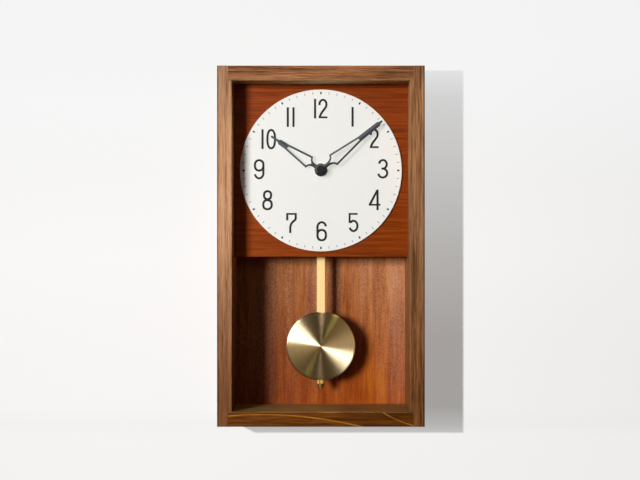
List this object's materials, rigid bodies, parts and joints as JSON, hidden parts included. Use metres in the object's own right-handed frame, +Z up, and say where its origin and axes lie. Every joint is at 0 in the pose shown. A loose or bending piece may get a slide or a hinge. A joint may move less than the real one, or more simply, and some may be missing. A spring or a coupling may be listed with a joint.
{
  "type": "wall pendulum clock",
  "caption": "Open wooden wall clock with a round dial, a quartz movement behind it and a driven pendulum with a turned brass bob.",
  "frame": {"origin": "centre of the keyhole plate's round entry, in the wall plane that the case's back edges touch", "axes": "+X to the right as seen from the front, +Y back into the wall, +Z up. The dial faces -Y."},
  "size_m": [0.23, 0.07, 0.4],
  "materials": {
    "case_wood": "stained hardwood, satin varnish",
    "board_wood": "stained veneer, satin varnish",
    "panel_wood": "stained veneer, satin varnish",
    "hidden_wood": "plain sawn softwood",
    "zinc_steel": "zinc plated",
    "dial_white": "matt off-white paint",
    "ink": "printed, matt",
    "hand_paint": "dark blue-grey satin paint",
    "black_plastic": "moulded, fine texture",
    "white_plastic": "moulded acetal",
    "brass": "polished and lacquered",
    "turned_brass": "turned, lacquered",
    "copper_wire": "enamelled copper wire",
    "circuit_green": "solder mask",
    "cell_jacket": "printed plain jacket",
    "magnet_grey": "nickel plated",
    "soft_iron": "stamped soft iron"
  },
  "bodies": {
    "case": {"left_side": "case_wood", "right_side": "case_wood", "top_board": "case_wood", "bottom_board": "case_wood", "back_panel": "panel_wood", "panel_screws": "zinc_steel", "hanging_rail": "hidden_wood", "keyhole_plate": "zinc_steel", "keyhole_screws": "zinc_steel", "dial_board": "board_wood", "left_cleat": "hidden_wood", "right_cleat": "hidden_wood", "cleat_screws": "zinc_steel", "dial_plate": "dial_white", "dial_numerals": "ink", "hour_marks": "ink", "minute_marks": "ink", "movement_shell": "black_plastic", "movement_cover": "black_plastic", "threaded_bush": "brass", "bush_washer": "zinc_steel", "bush_nut": "brass", "clock_cell": "cell_jacket", "clock_contacts": "zinc_steel", "circuit_board": "circuit_green", "chip_cover": "black_plastic", "quartz_crystal": "zinc_steel", "coil_core": "soft_iron", "coil_bobbin": "white_plastic", "coil_winding": "copper_wire", "stator": "soft_iron", "drive_shell": "black_plastic", "drive_cover": "black_plastic", "drive_screws": "zinc_steel", "drive_cell": "cell_jacket", "drive_contacts": "zinc_steel", "drive_circuit_board": "circuit_green", "drive_coil": "copper_wire", "pivot_pin": "zinc_steel"},
    "minute_hand": {"minute_hand": "hand_paint", "hand_nut": "hand_paint", "minute_arbor": "zinc_steel", "friction_washer": "brass"},
    "hour_hand": {"hour_hand": "hand_paint", "hour_wheel": "white_plastic"},
    "motion_wheel": {"motion_wheel": "white_plastic", "setting_knob": "white_plastic"},
    "seconds_wheel": {"seconds_wheel": "white_plastic"},
    "third_wheel": {"third_wheel": "white_plastic"},
    "centre_wheel": {"centre_wheel": "white_plastic"},
    "intermediate_wheel": {"intermediate_wheel": "white_plastic"},
    "rotor": {"rotor": "white_plastic", "rotor_magnet": "magnet_grey"},
    "pendulum": {"swing_arm": "white_plastic", "arm_magnet": "magnet_grey", "pendulum_rod": "brass", "rod_stud": "brass"},
    "bob": {"bob_front": "turned_brass", "bob_back": "turned_brass"},
    "rating_nut": {"rating_nut": "brass"}
  },
  "joints": [
    {"name": "minute_hand_turn", "type": "hinge", "parent": "case", "child": "minute_hand", "pos_m": [0, -0.035, -0.0721], "axis": [0, 1, 0], "continuous": true},
    {"name": "hour_hand_turn", "type": "hinge", "parent": "case", "child": "hour_hand", "pos_m": [0, -0.035, -0.0721], "axis": [0, 1, 0], "continuous": true},
    {"name": "motion_wheel_turn", "type": "hinge", "parent": "case", "child": "motion_wheel", "pos_m": [-0.012, -0.035, -0.0721], "axis": [0, 1, 0], "continuous": true},
    {"name": "seconds_wheel_turn", "type": "hinge", "parent": "case", "child": "seconds_wheel", "pos_m": [0.00677, -0.035, -0.05441], "axis": [0, 1, 0], "continuous": true},
    {"name": "third_wheel_turn", "type": "hinge", "parent": "case", "child": "third_wheel", "pos_m": [0.00862, -0.035, -0.06487], "axis": [0, 1, 0], "continuous": true},
    {"name": "centre_wheel_turn", "type": "hinge", "parent": "case", "child": "centre_wheel", "pos_m": [0, -0.035, -0.0721], "axis": [0, 1, 0], "continuous": true},
    {"name": "intermediate_wheel_turn", "type": "hinge", "parent": "case", "child": "intermediate_wheel", "pos_m": [-0.00223, -0.035, -0.05441], "axis": [0, 1, 0], "continuous": true},
    {"name": "rotor_turn", "type": "hinge", "parent": "case", "child": "rotor", "pos_m": [-0.01045, -0.035, -0.0574], "axis": [0, 1, 0], "continuous": true},
    {"name": "pendulum_swing", "type": "hinge", "parent": "case", "child": "pendulum", "pos_m": [0, -0.029, -0.1258], "axis": [0, 1, 0], "range_deg": [-8, 8]},
    {"name": "bob_height", "type": "slide", "parent": "pendulum", "child": "bob", "axis": [0, 0, 1], "range_m": [-0.002, 0.002]},
    {"name": "rating_nut_turn", "type": "hinge", "parent": "bob", "child": "rating_nut", "pos_m": [0, -0.029, -0.314], "axis": [0, 0, 1], "range_deg": [-1441, 1441]}
  ],
  "couplings": [
    {"joint": "hour_hand_turn", "follows": "minute_hand_turn", "ratio": 0.083333},
    {"joint": "motion_wheel_turn", "follows": "minute_hand_turn", "ratio": -0.33333},
    {"joint": "intermediate_wheel_turn", "follows": "rotor_turn", "ratio": -0.16667},
    {"joint": "seconds_wheel_turn", "follows": "rotor_turn", "ratio": 0.033333},
    {"joint": "third_wheel_turn", "follows": "rotor_turn", "ratio": -0.0044444},
    {"joint": "centre_wheel_turn", "follows": "rotor_turn", "ratio": 0.00055556},
    {"joint": "rating_nut_turn", "follows": "bob_height", "rad_per_m": 12566}
  ]
}
